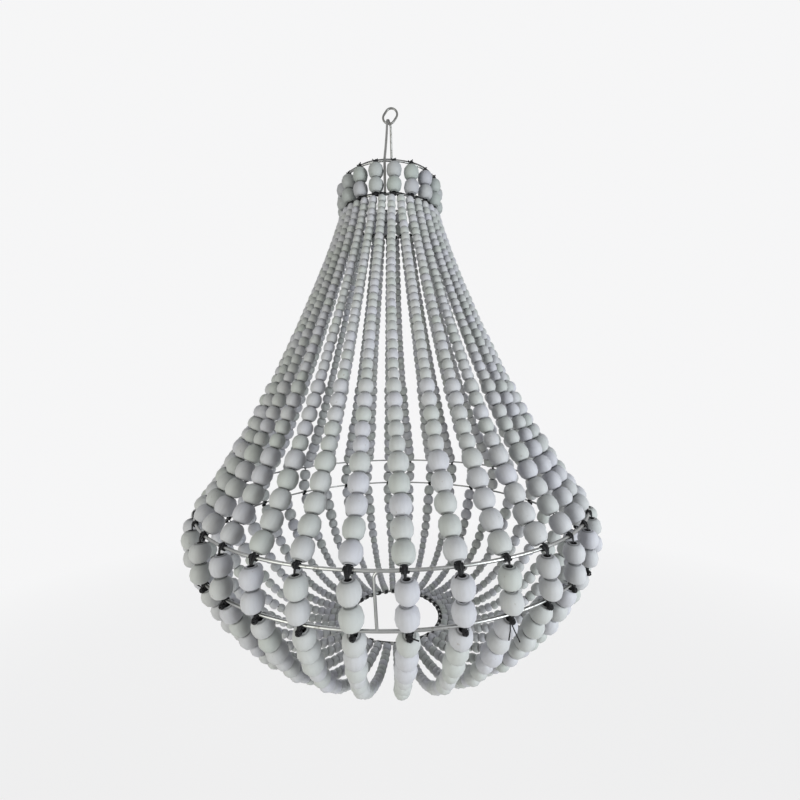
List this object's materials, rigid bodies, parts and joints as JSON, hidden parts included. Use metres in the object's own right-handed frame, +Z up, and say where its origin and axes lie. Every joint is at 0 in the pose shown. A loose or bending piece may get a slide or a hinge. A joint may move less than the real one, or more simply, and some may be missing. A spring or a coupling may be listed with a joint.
{
  "type": "beaded chandelier",
  "caption": "Bell-shaped pendant chandelier of graded pale wooden beads strung between steel wire rings, with a flared shade, a shallow bowl, a wire bail and a hanging link.",
  "frame": {"origin": "the point inside the hanging link where the ceiling hook bears, on the chandelier's upright axis", "axes": "+Z up, along the upright axis; -Y towards the front; the hanging link lies in the XZ plane"},
  "size_m": [0.5224, 0.5224, 0.7255],
  "materials": {
    "hanger_wire": "dull, darkened wire",
    "ring_wire": "satin",
    "crown_beads": "matt pale grey wash",
    "strand_beads": "matt pale grey wash"
  },
  "bodies": {
    "link": {"hanging_link": "hanger_wire"},
    "chandelier": {"bail": "hanger_wire", "crown_top_ring": "ring_wire", "crown_lower_ring": "ring_wire", "waist_frame": "ring_wire", "bottom_ring": "ring_wire", "crown_beads_01": "crown_beads", "crown_beads_02": "crown_beads", "crown_beads_03": "crown_beads", "crown_beads_04": "crown_beads", "crown_beads_05": "crown_beads", "crown_beads_06": "crown_beads", "crown_beads_07": "crown_beads", "crown_beads_08": "crown_beads", "crown_beads_09": "crown_beads", "crown_beads_10": "crown_beads", "crown_beads_11": "crown_beads", "crown_beads_12": "crown_beads", "crown_beads_13": "crown_beads", "crown_beads_14": "crown_beads", "crown_beads_15": "crown_beads", "crown_beads_16": "crown_beads", "crown_beads_17": "crown_beads", "crown_beads_18": "crown_beads", "bead_strand_01": "strand_beads", "bead_strand_02": "strand_beads", "bead_strand_03": "strand_beads", "bead_strand_04": "strand_beads", "bead_strand_05": "strand_beads", "bead_strand_06": "strand_beads", "bead_strand_07": "strand_beads", "bead_strand_08": "strand_beads", "bead_strand_09": "strand_beads", "bead_strand_10": "strand_beads", "bead_strand_11": "strand_beads", "bead_strand_12": "strand_beads", "bead_strand_13": "strand_beads", "bead_strand_14": "strand_beads", "bead_strand_15": "strand_beads", "bead_strand_16": "strand_beads", "bead_strand_17": "strand_beads", "bead_strand_18": "strand_beads", "bead_strand_19": "strand_beads", "bead_strand_20": "strand_beads", "bead_strand_21": "strand_beads", "bead_strand_22": "strand_beads", "bead_strand_23": "strand_beads", "bead_strand_24": "strand_beads", "bead_strand_25": "strand_beads", "bead_strand_26": "strand_beads", "bead_strand_27": "strand_beads", "bead_strand_28": "strand_beads", "bead_strand_29": "strand_beads", "bead_strand_30": "strand_beads", "bead_strand_31": "strand_beads", "bead_strand_32": "strand_beads", "bead_strand_33": "strand_beads", "bead_strand_34": "strand_beads", "bead_strand_35": "strand_beads", "bead_strand_36": "strand_beads"}
  },
  "joints": [
    {"name": "link_swing", "type": "hinge", "parent": "link", "child": "chandelier", "pos_m": [0, 0, -0.01605], "axis": [0, 1, 0], "range_deg": [-60, 60]}
  ]
}
